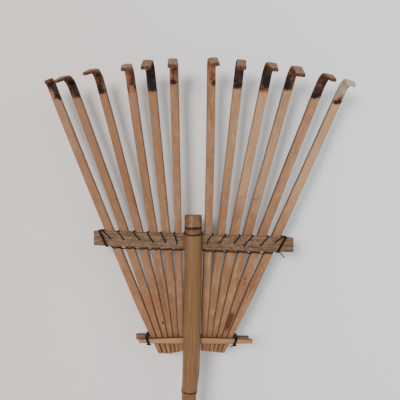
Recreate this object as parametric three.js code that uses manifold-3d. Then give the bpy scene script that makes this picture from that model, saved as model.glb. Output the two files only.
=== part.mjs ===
import * as THREE from 'three';
import { mergeVertices } from 'three/addons/utils/BufferGeometryUtils.js';
import Module from 'manifold-3d';

// A handmade bamboo leaf rake, upright, standing on the end of its handle.
// Millimetres. +Z runs up the handle to the head, the tips bend towards -Y, +X is to the right.
// The origin is the centre of the handle's lower end face.

const wasm = await Module();
wasm.setup();

// ---- Driving dimensions ----

const GAP = 0.3; // kept between touching pieces

// Layers of the head, front to back: slat or stick, tines, slat or stick.
const SLAT_FRONT = 0.5;
const SLAT_THICK = 7;
const TINE_FRONT = SLAT_FRONT + SLAT_THICK + GAP;
const TINE_THICK = 4.5;
const BACK_FRONT = TINE_FRONT + TINE_THICK + GAP;
const BACK_SLAT_THICK = 5.5;
const BACK_STICK_THICK = 7;

// Handle: a bamboo culm, its centre line swaying a little from node to node.
const POLE_TOP = 1230;
const POLE_SIDES = 20;
const POLE_NODES = [[215, 0.9], [480, 0.9], [740, 0.9], [987.5, 0.8], [1211, 0.35]]; // height, swell
const NODE_REACH = 2.6;
const POLE_LINE = [ // height, centre x, radius
  [0, 0, 9.3], [215, -1.5, 9.5], [480, 1, 9.6], [740, -3, 9.8], [979, -6, 10.2],
  [989, -5.3, 10.9], [1002, -3.9, 11.5], [1014, -3, 12.2], [1050, -2, 12.3], [1110, -1.2, 12.2],
  [1145, 0, 12.1], [POLE_TOP, 0, 12.1],
];
const POLE_BORE_RADIUS = 8.3;
const POLE_BORE_DEPTH = 15;

// Upper slats, tilted: the left end stands higher.
const SLAT_Z = 1192.6;
const SLAT_TILT = -0.0349;
const SLAT_LEFT = -138;
const SLAT_RIGHT = 139.2;
const SLAT_HEIGHT = 20.6;
const BACK_SLAT_INSET = 1.6;
const BACK_SLAT_HEIGHT = 20;
const EDGE_CHAMFER = 0.9;

// Lower sticks that clamp the feet of the tines.
const STICK_Z = 1054.8;
const FRONT_STICK = { left: -75, right: 82.5, tilt: -0.003, sag: 0.9, ends: [3, 3], middle: 4.9 };
const BACK_STICK = { left: -81, right: 78.5, tilt: -0.02, sag: 0, ends: [4.6, 4], middle: 5 };

// Tines: centre line x at the foot, at the upper slat and near the bend, on one parabola.
const FOOT_Z = 1036.5;
const FOOT_RISE = 0.1; // the feet are cut in a shallow V, highest beside the handle
const FOOT_SPREAD = 34.2; // distance from the handle at which a foot ends at FOOT_Z
const CHEST_Z = 1376;
const CROWD_GAP = 0.4; // left between tines that are trimmed to lie side by side
const FOOT_TRIM = 0.52; // width of a foot as a share of the tine's full width
const FOOT_TRIM_TOP = 1105;
const TINE_CHAMFER = 0.6;
const BEND_RADIUS = 14; // outer face
const BEND_STEPS = 7;
const POLE_CLEARANCE = 10.6;

// crest: height of the top of the bend; hook: straight length after it; drop: degrees below
// level that it points; swing: degrees that it turns away from the handle; tip: left and right
// edge of the end, in half widths; hole: the lacing hole's place, across from the centre line
// and up from the slat's middle line; waist: width at the slat and below, as a share of the full
// width that it has near the bend; dip: how much lower its foot ends than the others' V.
const TINES = [
  { foot: -46, slat: -111.1, chest: -185.2, width: 12.6, crest: 1418, hook: 1, drop: 5, swing: 0, radius: 8,
    hole: [-1, 0.9] },
  { foot: -39.4, slat: -91.8, chest: -157.3, width: 12.3, crest: 1420.5, hook: 19, drop: 30, swing: 12,
    dip: 1.3, tip: [-0.95, -0.1], hole: [-3.4, -0.3] },
  { foot: -33.4, slat: -72.2, chest: -120.1, width: 12.1, waist: 0.94, crest: 1430, hook: 19, drop: 30,
    swing: 12, dip: 1.9, tip: [-0.95, -0.2], hole: [-0.9, 0.2] },
  { foot: -27.5, slat: -54, chest: -82, width: 12.9, waist: 0.95, crest: 1437, hook: 14, drop: 37, swing: 2,
    dip: 1.2, hole: [-1.7, -1.9] },
  { foot: -21.7, slat: -36.9, chest: -54.8, width: 13.1, waist: 0.88, crest: 1442.5, hook: 19, drop: 42,
    swing: 4, dip: 0.7, hole: [-1.3, -2.8] },
  { foot: -16.4, slat: -20.8, chest: -25.7, width: 12.5, waist: 0.74, crest: 1444.5, hook: 18, drop: 42,
    swing: 1, hole: [-1.6, -3.6] },
  { foot: 13.7, slat: 20.4, chest: 24.7, width: 12.5, waist: 0.9, crest: 1445.5, hook: 17, drop: 42, swing: 6,
    hole: [-0.8, -1.2] },
  { foot: 19.2, slat: 37.6, chest: 58.4, width: 13, waist: 0.84, crest: 1443, hook: 19, drop: 43, swing: -1,
    hole: [-0.9, -0.6] },
  { foot: 24.5, slat: 55.2, chest: 92.7, width: 13.3, crest: 1439, hook: 16, drop: 42, swing: 6,
    tip: [-0.3, 0.95], hole: [2.1, 0] },
  { foot: 29.8, slat: 72.9, chest: 124.3, width: 13, crest: 1434, hook: 20, drop: 43, swing: 8,
    hole: [-0.8, -3.5] },
  { foot: 35.1, slat: 93, chest: 164.3, width: 13.2, crest: 1423.5, hook: 14, drop: 37, swing: 10,
    tip: [-0.2, 0.95], hole: [2.5, -3.2] },
  { foot: 40.4, slat: 112.6, chest: 195.7, width: 12.8, crest: 1415, hook: 9.5, drop: 37, swing: 6,
    hole: [1.3, 2.4] },
];
const TINE_HOLE_RADIUS = 1.5;

// Iron wire
const WIRE_RADIUS = 0.65;
const WIRE_SIDES = 6;
const WIRE_REST = WIRE_RADIUS + GAP; // wire centre to the surface it lies on
const WRAP_PITCH = 2 * WIRE_RADIUS + GAP;
const WRAP_CORNER = 0.7; // how far the wire cuts the corners that it goes round

// Where a tie first crosses the upper and the lower edge of what it holds.
const END_WRAPS = { left: [-127, -117.4], right: [125.6, 114.4], turns: 2.8 };
const STICK_TIES = { left: [-62.2, -59.2], right: [57.2, 54.4], turns: 2.6 };
const TAIL_SPAN = 4; // sideways reach of the stitching's ends, behind the rear slat
const TAIL_DROPS = [5, 8];

// Wire along the front slat's lower edge: where it starts, how far it dips under the edge
// before, after and between the tines, and where it leaves beside the handle.
const RUN_STARTS = { left: -115.2, right: 111.6 };
const RUN_DIPS = { before: 1.8, after: 1.2, between: 2.6, end: 1 };
const RUN_CONTACT = 3;
const RUN_EXIT = 12.9;
const RUN_RISE = 6;

// Wire round the front of the handle.
const BAND_RADIUS = 12.1 + WIRE_REST;
const BAND_FRONT_Z = 1202;
const BAND_SIDE_Z = 1205;
const BAND_CORNER_Z = 1203.6;
const BAND_END_Z = 1197;

const BAMBOO = { color: 0xb58a62, roughness: 0.6 };
const POLE_BAMBOO = { color: 0xa9845c, roughness: 0.45 };
const OLD_WOOD = { color: 0x8a6d55, roughness: 0.85 };
const STICK_WOOD = { color: 0xb28c66, roughness: 0.6 };
const RED_WOOD = { color: 0x8a5a40, roughness: 0.7 };
const IRON = { color: 0x2a2522, roughness: 0.5, metalness: 0.7 };

const rake = new THREE.Group();

// ---- Helpers ----

function addPart(name, geometry, look) {
  const mesh = new THREE.Mesh(geometry, new THREE.MeshStandardMaterial(look));
  mesh.name = name;
  rake.add(mesh);
}

// Closed skin over a row of rings, each with the same number of points, right-handed about
// the direction from the first ring to the last.
function loft(rings) {
  const count = rings[0].length;
  const last = (rings.length - 1) * count;
  const index = [];
  for (let row = 0; row < rings.length - 1; row++) {
    for (let i = 0; i < count; i++) {
      const a = row * count + i;
      const b = row * count + ((i + 1) % count);
      index.push(a, b, b + count, a, b + count, a + count);
    }
  }
  for (let i = 1; i < count - 1; i++) {
    index.push(0, i + 1, i);
    index.push(last, last + i, last + i + 1);
  }
  const geometry = new THREE.BufferGeometry().setFromPoints(rings.flat());
  geometry.setIndex(index);
  return geometry;
}

function toSolid(geometry) {
  const bare = geometry.clone();
  bare.deleteAttribute('normal');
  bare.deleteAttribute('uv');
  const merged = mergeVertices(bare, 1e-4);
  const vertProperties = new Float32Array(merged.attributes.position.array);
  const triVerts = new Uint32Array(merged.index.array);
  return new wasm.Manifold(new wasm.Mesh({ numProp: 3, vertProperties, triVerts }));
}

function cut(geometry, tools) {
  let solid = toSolid(geometry);
  for (const tool of tools) {
    solid = solid.subtract(toSolid(tool));
  }
  const mesh = solid.getMesh();
  const result = new THREE.BufferGeometry();
  result.setAttribute('position', new THREE.BufferAttribute(mesh.vertProperties, 3));
  result.setIndex(new THREE.BufferAttribute(mesh.triVerts, 1));
  return result;
}

// A drill for a hole along Y.
function drill(x, z, radius, from, to) {
  const tool = new THREE.CylinderGeometry(radius, radius, to - from, 8);
  tool.translate(x, (from + to) / 2, z);
  return tool;
}

function interpolate(rows, at, column) {
  let k = 1;
  while (k < rows.length - 1 && rows[k][0] < at) {
    k++;
  }
  const share = (at - rows[k - 1][0]) / (rows[k][0] - rows[k - 1][0]);
  return THREE.MathUtils.lerp(rows[k - 1][column], rows[k][column], share);
}

// A polyline that keeps its own points when it is extruded along.
class WirePath extends THREE.Curve {
  constructor(points) {
    super();
    this.points = points;
  }
  getPoint(t, target = new THREE.Vector3()) {
    const place = THREE.MathUtils.clamp(t, 0, 1) * (this.points.length - 1);
    const k = Math.min(Math.floor(place), this.points.length - 2);
    return target.lerpVectors(this.points[k], this.points[k + 1], place - k);
  }
  getPointAt(u, target) {
    return this.getPoint(u, target);
  }
  getTangentAt(u, target) {
    return this.getTangent(u, target);
  }
}

function wire(triples) {
  const points = triples.map(([x, y, z]) => new THREE.Vector3(x, y, z));
  const section = new THREE.Shape();
  for (let i = 0; i < WIRE_SIDES; i++) {
    const angle = (i * 2 * Math.PI) / WIRE_SIDES;
    const x = WIRE_RADIUS * Math.cos(angle);
    const y = WIRE_RADIUS * Math.sin(angle);
    if (i === 0) {
      section.moveTo(x, y);
    } else {
      section.lineTo(x, y);
    }
  }
  const extrudePath = new WirePath(points);
  return new THREE.ExtrudeGeometry(section, { steps: points.length - 1, extrudePath, bevelEnabled: false });
}

// ---- Tines ----

// Centre line x at a height, on the parabola through the tine's three given points.
function centreX(tine, z) {
  const a = FOOT_Z;
  const b = SLAT_Z;
  const c = CHEST_Z;
  return (tine.foot * (z - b) * (z - c)) / ((a - b) * (a - c))
    + (tine.slat * (z - a) * (z - c)) / ((b - a) * (b - c))
    + (tine.chest * (z - a) * (z - b)) / ((c - a) * (c - b));
}

function leanAt(tine, z) {
  return Math.atan(centreX(tine, z + 0.5) - centreX(tine, z - 0.5));
}

// Left and right edges at a height. Where tines crowd together they are trimmed to meet.
function edgesAt(index, z) {
  const tine = TINES[index];
  const x = centreX(tine, z);
  const trim = THREE.MathUtils.mapLinear(Math.min(z, FOOT_TRIM_TOP), FOOT_Z, FOOT_TRIM_TOP, FOOT_TRIM, 1);
  const rise = THREE.MathUtils.clamp((z - SLAT_Z) / (CHEST_Z - SLAT_Z), 0, 1);
  const waist = THREE.MathUtils.lerp(tine.waist ?? 1, 1, rise);
  const half = (tine.width * waist * trim) / 2 / Math.cos(leanAt(tine, z));
  let left = x - half;
  let right = x + half;
  const before = TINES[index - 1];
  const after = TINES[index + 1];
  if (before && before.foot * tine.foot > 0) {
    left = Math.max(left, (centreX(before, z) + x + CROWD_GAP) / 2);
  }
  if (after && after.foot * tine.foot > 0) {
    right = Math.min(right, (centreX(after, z) + x - CROWD_GAP) / 2);
  }
  if (x < 0) {
    right = Math.min(right, -POLE_CLEARANCE);
  } else {
    left = Math.max(left, POLE_CLEARANCE);
  }
  return [left, right];
}

// Ring of a strip: across and back are unit vectors, spans are measured from the centre.
function stripRing(centre, across, back, from, to) {
  const half = TINE_THICK / 2;
  const c = TINE_CHAMFER;
  const outline = [
    [from + c, -half], [to - c, -half], [to, c - half], [to, half - c],
    [to - c, half], [from + c, half], [from, half - c], [from, c - half],
  ];
  return outline.map(([w, n]) => centre.clone().addScaledVector(across, w).addScaledVector(back, n));
}

function straightRings(index, top) {
  const tine = TINES[index];
  const foot = FOOT_Z + FOOT_RISE * (FOOT_SPREAD - Math.abs(tine.foot)) - (tine.dip ?? 0);
  const heights = [foot, 1055, 1073, 1091, 1109, 1127, 1150, SLAT_Z, 1285, CHEST_Z, top - 8];
  return heights.map((z) => {
    const x = centreX(tine, z);
    const [left, right] = edgesAt(index, z);
    const centre = new THREE.Vector3(x, TINE_FRONT + TINE_THICK / 2, z);
    return stripRing(centre, new THREE.Vector3(1, 0, 0), new THREE.Vector3(0, 1, 0), left - x, right - x);
  });
}

// The heat-bent tip: the strip wraps forward over a round former, then runs straight.
function hookRings(tine, start) {
  const lean = leanAt(tine, start);
  const along = new THREE.Vector3(Math.sin(lean), 0, Math.cos(lean));
  const across = new THREE.Vector3(Math.cos(lean), 0, -Math.sin(lean));
  const back = new THREE.Vector3(0, 1, 0);
  const turn = lean - Math.sign(tine.foot) * THREE.MathUtils.degToRad(tine.swing);
  const axis = new THREE.Vector3(Math.cos(turn), 0, -Math.sin(turn));
  const radius = (tine.radius ?? BEND_RADIUS) - TINE_THICK / 2;
  const sweep = THREE.MathUtils.degToRad(90 + tine.drop);
  const stepAngle = sweep / BEND_STEPS;
  const stepLength = (radius * stepAngle) / Math.cos(lean - turn);
  const place = new THREE.Vector3(centreX(tine, start), TINE_FRONT + TINE_THICK / 2, start);
  const half = tine.width / 2;
  const rings = [stripRing(place, across, back, -half, half)];
  for (let step = 0; step < BEND_STEPS; step++) {
    along.applyAxisAngle(axis, stepAngle / 2);
    place.addScaledVector(along, stepLength);
    along.applyAxisAngle(axis, stepAngle / 2);
    across.applyAxisAngle(axis, stepAngle);
    back.applyAxisAngle(axis, stepAngle);
    rings.push(stripRing(place, across, back, -half, half));
  }
  place.addScaledVector(along, tine.hook);
  const [tipLeft, tipRight] = tine.tip ?? [-0.95, 0.95];
  rings.push(stripRing(place, across, back, half * tipLeft, half * tipRight));
  return rings;
}

function slatMiddle(x) {
  return SLAT_Z + SLAT_TILT * x;
}

function slatTop(x) {
  return slatMiddle(x) + SLAT_HEIGHT / 2;
}

function holePlace(tine) {
  const z = slatMiddle(tine.slat) + tine.hole[1];
  return [centreX(tine, z) + tine.hole[0], z];
}

function addTines() {
  TINES.forEach((tine, index) => {
    const radius = tine.radius ?? BEND_RADIUS;
    const start = tine.crest - radius * Math.cos(leanAt(tine, tine.crest - radius));
    const body = loft([...straightRings(index, start), ...hookRings(tine, start)]);
    const [x, z] = holePlace(tine);
    const hole = drill(x, z, TINE_HOLE_RADIUS, TINE_FRONT - 1, TINE_FRONT + TINE_THICK + 1);
    addPart(`tine_${String(index + 1).padStart(2, '0')}`, cut(body, [hole]), BAMBOO);
  });
}

// ---- Slats and sticks ----

function slatRing(x, front, thick, height) {
  const z = slatMiddle(x);
  const h = height / 2;
  const c = EDGE_CHAMFER;
  const outline = [
    [front + c, z - h], [front + thick - c, z - h], [front + thick, z - h + c], [front + thick, z + h - c],
    [front + thick - c, z + h], [front + c, z + h], [front, z + h - c], [front, z - h + c],
  ];
  return outline.map(([y, level]) => new THREE.Vector3(x, y, level));
}

function addSlat(name, left, right, front, thick, height) {
  const body = loft([slatRing(left, front, thick, height), slatRing(right, front, thick, height)]);
  const holes = TINES.map((tine) => {
    const [x, z] = holePlace(tine);
    return drill(x, z, TINE_HOLE_RADIUS, front - 1, front + thick + 1);
  });
  addPart(name, cut(body, holes), OLD_WOOD);
}

function addSlats() {
  addSlat('front_slat', SLAT_LEFT, SLAT_RIGHT, SLAT_FRONT, SLAT_THICK, SLAT_HEIGHT);
  const left = SLAT_LEFT + BACK_SLAT_INSET;
  const right = SLAT_RIGHT - BACK_SLAT_INSET;
  addSlat('back_slat', left, right, BACK_FRONT, BACK_SLAT_THICK, BACK_SLAT_HEIGHT);
}

function stickHalfHeight(stick, x) {
  const end = x < 0 ? stick.ends[0] : stick.ends[1];
  const reach = x < 0 ? x / stick.left : x / stick.right;
  return THREE.MathUtils.lerp(stick.middle, end, reach * reach);
}

function stickMiddle(stick, x) {
  return STICK_Z + stick.tilt * x - stick.sag * (x / stick.right) ** 2;
}

// Rounded, flattened section of a stick; grow enlarges it all round.
function stickRing(stick, x, front, thick, grow) {
  const halfThick = thick / 2 + grow;
  const halfHeight = stickHalfHeight(stick, x) + grow;
  const ring = [];
  for (let i = 0; i < 12; i++) {
    const angle = ((i + 0.5) * Math.PI) / 6;
    const c = Math.cos(angle);
    const s = Math.sin(angle);
    const y = front + thick / 2 + halfThick * Math.sign(c) * Math.abs(c) ** 0.7;
    const z = stickMiddle(stick, x) + halfHeight * Math.sign(s) * Math.abs(s) ** 0.7;
    ring.push(new THREE.Vector3(x, y, z));
  }
  return ring;
}

function stickBody(stick, front, thick) {
  const rings = [];
  for (let step = 0; step <= 6; step++) {
    const x = THREE.MathUtils.lerp(stick.left, stick.right, step / 6);
    rings.push(stickRing(stick, x, front, thick, 0));
  }
  return loft(rings);
}

function addSticks() {
  addPart('front_stick', stickBody(FRONT_STICK, SLAT_FRONT, SLAT_THICK), STICK_WOOD);
  addPart('back_stick', stickBody(BACK_STICK, BACK_FRONT, BACK_STICK_THICK), RED_WOOD);
}

// ---- Handle ----

function poleRing(z) {
  let radius = interpolate(POLE_LINE, z, 2);
  for (const [node, swell] of POLE_NODES) {
    radius += swell * Math.exp(-(((node - z) / NODE_REACH) ** 2));
  }
  const x = interpolate(POLE_LINE, z, 1);
  const ring = [];
  for (let i = 0; i < POLE_SIDES; i++) {
    const angle = (i * 2 * Math.PI) / POLE_SIDES;
    ring.push(new THREE.Vector3(x + radius * Math.cos(angle), radius * Math.sin(angle), z));
  }
  return ring;
}

function addPole() {
  const heights = POLE_LINE.map((row) => row[0]).filter((z) => !POLE_NODES.some(([node]) => node === z));
  for (const [node] of POLE_NODES) {
    heights.push(node - 6, node - 2.6, node, node + 2.6, node + 6);
  }
  heights.sort((a, b) => a - b);
  const bore = new THREE.CylinderGeometry(POLE_BORE_RADIUS, POLE_BORE_RADIUS, 2 * POLE_BORE_DEPTH, POLE_SIDES);
  bore.rotateX(Math.PI / 2);
  bore.translate(0, 0, POLE_TOP);
  const mortise = new THREE.BoxGeometry(40, SLAT_THICK + 2 * GAP, SLAT_HEIGHT + 2 * GAP);
  mortise.rotateY(-SLAT_TILT);
  mortise.translate(0, SLAT_FRONT + SLAT_THICK / 2, SLAT_Z);
  const socket = loft([-20, 20].map((x) => stickRing(FRONT_STICK, x, SLAT_FRONT, SLAT_THICK, 2 * GAP)));
  addPart('handle', cut(loft(heights.map(poleRing)), [bore, mortise, socket]), POLE_BAMBOO);
}

// ---- Wires ----

// Turns of wire round a pair of boards. topX and bottomX are where the first turn crosses
// their upper and lower edges; step moves each turn along.
function wrapPoints(box, [topX, bottomX], step, turns) {
  const r = WRAP_CORNER;
  const corners = [
    [topX, box.front, box.top - r], [topX, box.front + r, box.top],
    [topX, box.back - r, box.top], [topX, box.back, box.top - r],
    [bottomX, box.back, box.bottom + r], [bottomX, box.back - r, box.bottom],
    [bottomX, box.front + r, box.bottom], [bottomX, box.front, box.bottom + r],
  ];
  const points = [];
  const count = Math.round(turns * corners.length);
  for (let i = 0; i < count; i++) {
    const [x, y, z] = corners[i % corners.length];
    const moved = x + (step * i) / corners.length;
    points.push([moved, y, z + box.tilt * moved]);
  }
  return points;
}

function addEndWraps() {
  const box = {
    front: SLAT_FRONT - WIRE_REST,
    back: BACK_FRONT + BACK_SLAT_THICK + WIRE_REST,
    top: SLAT_Z + SLAT_HEIGHT / 2 + WIRE_REST,
    bottom: SLAT_Z - SLAT_HEIGHT / 2 - WIRE_REST,
    tilt: SLAT_TILT,
  };
  addPart('end_wrap_left', wire(wrapPoints(box, END_WRAPS.left, -WRAP_PITCH, END_WRAPS.turns)), IRON);
  addPart('end_wrap_right', wire(wrapPoints(box, END_WRAPS.right, WRAP_PITCH, END_WRAPS.turns)), IRON);
}

// Envelope of the two sticks about a tie.
function stickTieBox(x) {
  const reach = (stick, side) => stickMiddle(stick, x) + side * stickHalfHeight(stick, x);
  return {
    front: SLAT_FRONT - WIRE_REST,
    back: BACK_FRONT + BACK_STICK_THICK + WIRE_REST,
    top: Math.max(reach(FRONT_STICK, 1), reach(BACK_STICK, 1)) + WIRE_REST,
    bottom: Math.min(reach(FRONT_STICK, -1), reach(BACK_STICK, -1)) - WIRE_REST,
    tilt: 0,
  };
}

function addStickTies() {
  const { left, right, turns } = STICK_TIES;
  addPart('stick_tie_left', wire(wrapPoints(stickTieBox(left[1]), left, -WRAP_PITCH, turns)), IRON);
  addPart('stick_tie_right', wire(wrapPoints(stickTieBox(right[1]), right, WRAP_PITCH, turns)), IRON);
}

// One wire per side, whipped over the slats' upper edges and through a hole in each tine.
function stitchPoints(order) {
  const front = SLAT_FRONT - WIRE_REST;
  const back = BACK_FRONT + BACK_SLAT_THICK + WIRE_REST;
  const side = Math.sign(TINES[order[0]].foot);
  const [firstX, firstZ] = holePlace(TINES[order[0]]);
  const points = [[firstX - side * TAIL_SPAN, back, firstZ - TAIL_DROPS[0]]];
  for (const index of order) {
    const [x, z] = holePlace(TINES[index]);
    const rest = slatTop(x) + 2 * WIRE_RADIUS + GAP;
    const edges = edgesAt(index, rest);
    const over = (side < 0 ? edges[0] : edges[1]) + side * WIRE_REST;
    const top = slatTop(over);
    const slope = (over - x) / (top - z);
    points.push([x, back, z], [x, back - 1.6, z], [x, front + 1.6, z], [x + slope * 0.6, front, z + 0.6]);
    points.push([over - slope * 0.6, front, top - 0.6], [over, front + 0.8, top + WIRE_REST]);
    points.push([over, back - 0.8, top + WIRE_REST], [over, back, top - 0.6]);
  }
  const [endX, , endZ] = points.at(-1);
  points.push([endX - side * TAIL_SPAN, back, endZ - TAIL_DROPS[1]]);
  return points;
}

function addStitching() {
  addPart('stitching_left', wire(stitchPoints([5, 4, 3, 2, 1, 0])), IRON);
  addPart('stitching_right', wire(stitchPoints([6, 7, 8, 9, 10, 11])), IRON);
}

// The wire that runs along under the front slat, dipping a little between the tines, then
// goes back beside the handle and turns up behind the rear slat.
function runningPoints(side, startX) {
  const front = TINE_FRONT - WIRE_REST;
  const back = BACK_FRONT + BACK_SLAT_THICK + WIRE_REST;
  const lowerEdge = (x) => slatMiddle(x) - SLAT_HEIGHT / 2 - WIRE_REST;
  const order = side < 0 ? [0, 1, 2, 3, 4, 5] : [11, 10, 9, 8, 7, 6];
  const crossings = order.map((index) => centreX(TINES[index], lowerEdge(TINES[index].slat)));
  const points = [[startX, front, lowerEdge(startX)]];
  crossings.forEach((x, k) => {
    points.push([x + side * RUN_CONTACT, front, lowerEdge(x) - RUN_DIPS.before]);
    points.push([x - side * RUN_CONTACT, front, lowerEdge(x) - RUN_DIPS.after]);
    if (k < crossings.length - 1) {
      points.push([(x + crossings[k + 1]) / 2, front, lowerEdge(x) - RUN_DIPS.between]);
    }
  });
  const exit = side * RUN_EXIT;
  const low = lowerEdge(exit) - RUN_DIPS.end;
  points.push([exit + side, front, low], [exit, front + 1, low], [exit, back - 1, low], [exit, back, low + 1]);
  points.push([exit, back, low + RUN_RISE]);
  return points;
}

function addRunningWires() {
  addPart('running_wire_left', wire(runningPoints(-1, RUN_STARTS.left)), IRON);
  addPart('running_wire_right', wire(runningPoints(1, RUN_STARTS.right)), IRON);
}

// The wire round the front of the handle, over both slats, its ends meeting behind them.
function addHandleBand() {
  const back = BACK_FRONT + BACK_SLAT_THICK + WIRE_REST;
  const bend = BAND_RADIUS - WIRE_REST + 0.1;
  const end = (side) => [
    [side * BAND_RADIUS, TINE_FRONT, BAND_SIDE_Z], [side * BAND_RADIUS, back - 0.9, BAND_SIDE_Z],
    [side * bend, back, BAND_CORNER_Z], [side, back, BAND_END_Z],
  ];
  const points = end(-1).reverse();
  for (let step = 0; step <= 12; step++) {
    const angle = Math.PI + (step * Math.PI) / 12;
    const z = THREE.MathUtils.lerp(BAND_SIDE_Z, BAND_FRONT_Z, Math.sin((step * Math.PI) / 12));
    points.push([BAND_RADIUS * Math.cos(angle), BAND_RADIUS * Math.sin(angle), z]);
  }
  points.push(...end(1));
  addPart('handle_band', wire(points), IRON);
}

addPole();
addTines();
addSlats();
addSticks();
addEndWraps();
addStickTies();
addStitching();
addRunningWires();
addHandleBand();

export default rake;
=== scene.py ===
import math

import bpy
from mathutils import Matrix, Vector, noise


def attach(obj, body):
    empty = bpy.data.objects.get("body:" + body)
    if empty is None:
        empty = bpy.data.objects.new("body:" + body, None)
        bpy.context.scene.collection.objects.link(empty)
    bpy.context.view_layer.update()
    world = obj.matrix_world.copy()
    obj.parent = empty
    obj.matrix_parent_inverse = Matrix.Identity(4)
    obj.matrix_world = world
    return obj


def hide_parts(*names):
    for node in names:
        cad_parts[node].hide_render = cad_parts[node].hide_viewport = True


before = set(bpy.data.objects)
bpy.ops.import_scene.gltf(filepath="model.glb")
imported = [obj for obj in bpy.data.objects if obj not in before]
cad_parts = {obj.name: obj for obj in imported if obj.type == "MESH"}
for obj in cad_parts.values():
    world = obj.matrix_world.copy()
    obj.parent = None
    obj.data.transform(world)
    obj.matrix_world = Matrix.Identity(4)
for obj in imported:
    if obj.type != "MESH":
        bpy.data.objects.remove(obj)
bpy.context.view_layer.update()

# A handmade bamboo leaf rake. The shapes below are worked out in millimetres in the part's own
# frame, as in the CAD, and become metres when a mesh is made.

MM = 0.001
GAP = 0.3

# ---- Sizes, as in the CAD ----

SLAT_FRONT = 0.5
SLAT_THICK = 7.0
TINE_FRONT = SLAT_FRONT + SLAT_THICK + GAP
TINE_THICK = 4.5
BACK_FRONT = TINE_FRONT + TINE_THICK + GAP
BACK_SLAT_THICK = 5.5
BACK_STICK_THICK = 7.0

POLE_TOP = 1230.0
POLE_NODES = [(215, 0.9), (480, 0.9), (740, 0.9), (987.5, 0.8), (1211, 0.35)]  # height, swell
SLANTED_RING, TOP_RING = 3, 4
POLE_LINE = [  # height, sway, radius
    (0, 0, 9.3), (215, -1.5, 9.5), (480, 1, 9.6), (740, -3, 9.8), (979, -6, 10.2),
    (989, -5.3, 10.9), (1002, -3.9, 11.5), (1014, -3, 12.2), (1050, -2, 12.3), (1110, -1.2, 12.2),
    (1145, 0, 12.1), (POLE_TOP, 0, 12.1),
]
POLE_BORE_RADIUS = 8.3
POLE_BORE_DEPTH = 15.0

SLAT_Z = 1192.6
SLAT_TILT = -0.0349
SLAT_LEFT = -138.0
SLAT_RIGHT = 139.2
SLAT_HEIGHT = 20.6
BACK_SLAT_INSET = 1.6
BACK_SLAT_HEIGHT = 20.0

STICK_Z = 1054.8
# tilt: rise along X; sag: drop at the right end; ends, middle: half heights.
FRONT_STICK = {"left": -75, "right": 82.5, "tilt": -0.003, "sag": 0.9, "ends": (3, 3), "middle": 4.9}
BACK_STICK = {"left": -81, "right": 78.5, "tilt": -0.02, "sag": 0, "ends": (4.6, 4), "middle": 5}

FOOT_Z = 1036.5
FOOT_RISE = 0.1
FOOT_SPREAD = 34.2
CHEST_Z = 1376.0
CROWD_GAP = 0.4
FOOT_TRIM = 0.52
FOOT_TRIM_TOP = 1105.0
BEND_RADIUS = 14.0
POLE_CLEARANCE = 10.6

WIRE_RADIUS = 0.65
WIRE_REST = WIRE_RADIUS + GAP
WRAP_PITCH = 2 * WIRE_RADIUS + GAP
WRAP_CORNER = 0.7
END_WRAPS = {"left": (-127, -117.4), "right": (125.6, 114.4)}
STICK_TIES = {"left": (-62.2, -59.2), "right": (57.2, 54.4)}
TAIL_SPAN = 4
TAIL_DROPS = (5, 8)
RUN_STARTS = {-1: -115.2, 1: 111.6}
RUN_EXIT = 12.9
RUN_RISE = 6
BAND_FRONT_Z = 1202
BAND_SIDE_Z = 1205
BAND_CORNER_Z = 1203.6
BAND_END_Z = 1197

# ---- Sizes that only the visual model has ----

HOOK_SLANT = 0.45  # how obliquely the hooks are cut off
OUTER_CORNER = 0.5
INNER_CORNER = 1.1  # the edge towards the handle is worn down wider
EDGE_ROUND = 0.12
STRIP_CROWN = 0.45
STRIP_STEPS = 10
BEND_STEPS = 22
HOOK_STEPS = 10
STICK_SIDES = 32
STICK_STEPS = 110
SOCKET_SIDES = 24
POLE_SIDES = 72
STRAND_RADIUS = WIRE_RADIUS + 0.12
STRAND_SIDES = 10
STRAND_STEPS = 4
STRAIGHTNESS = 0.55  # of a wire between its points; at 0 it is a smooth curve
WIRE_LAY = WIRE_RADIUS  # wire centre to the surface that it touches
BAND_RADIUS = 12.1 + WIRE_REST - 0.1
RING_LINES = [0.8, 0.8, 0.8, 1.0, 1.5]  # half widths of the dark lines in the handle's nodes
STITCH_BOWS = [-0.6, -0.5, 0.4, 0.3, -0.7, -0.6, 1.7, 0.9, 0.6, 1.2, 0.8, 0.9]
RUN_DIPS = (1.8, 2.3, 1.2, 2.9)  # before, at, after and between tines
END_WRAP_TURNS = {"left": 2.8, "right": 3}
TIE_TURNS = 3
# Loose wire ends: how far each reaches sideways and how far down.
LOOSE_ENDS = {"end_wrap_right": (7, 8), "stick_tie_left": (6, 0.6), "stick_tie_right": (-8, 1.0)}

# Dark bands near the handle's top: height, half width at full strength and where it ends, strength.
TOP_BANDS = [(1206, 3, 7, 0.6), (1211.5, 1.2, 3.4, 0.9)]
TOP_BLOTCHES = (1213, 1216)

# Where each tine's tint changes from the lower to the upper value.
TINT_CHANGE = (1200, 1290)
STAIN_BURN_FROM = 1.2

# Wall, lights and camera: places in metres, tints as 0-255 display values.
WALL_Y = 0.044
# Painted light across the wall: darker and warmer at the left, paler and cooler at the right.
WALL_PAINTED_LIGHT_REACH = (-0.28, 0.3)
WALL_PAINTED_LIGHT_TINTS = ((229, 216, 211), (238, 243, 246))
LIGHT_AIM = (0.0, 0.0, 1.2)
CAMERA_PLACE = (0.0094, -0.5522, 1.25)

# ---- Tines ----

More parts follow.
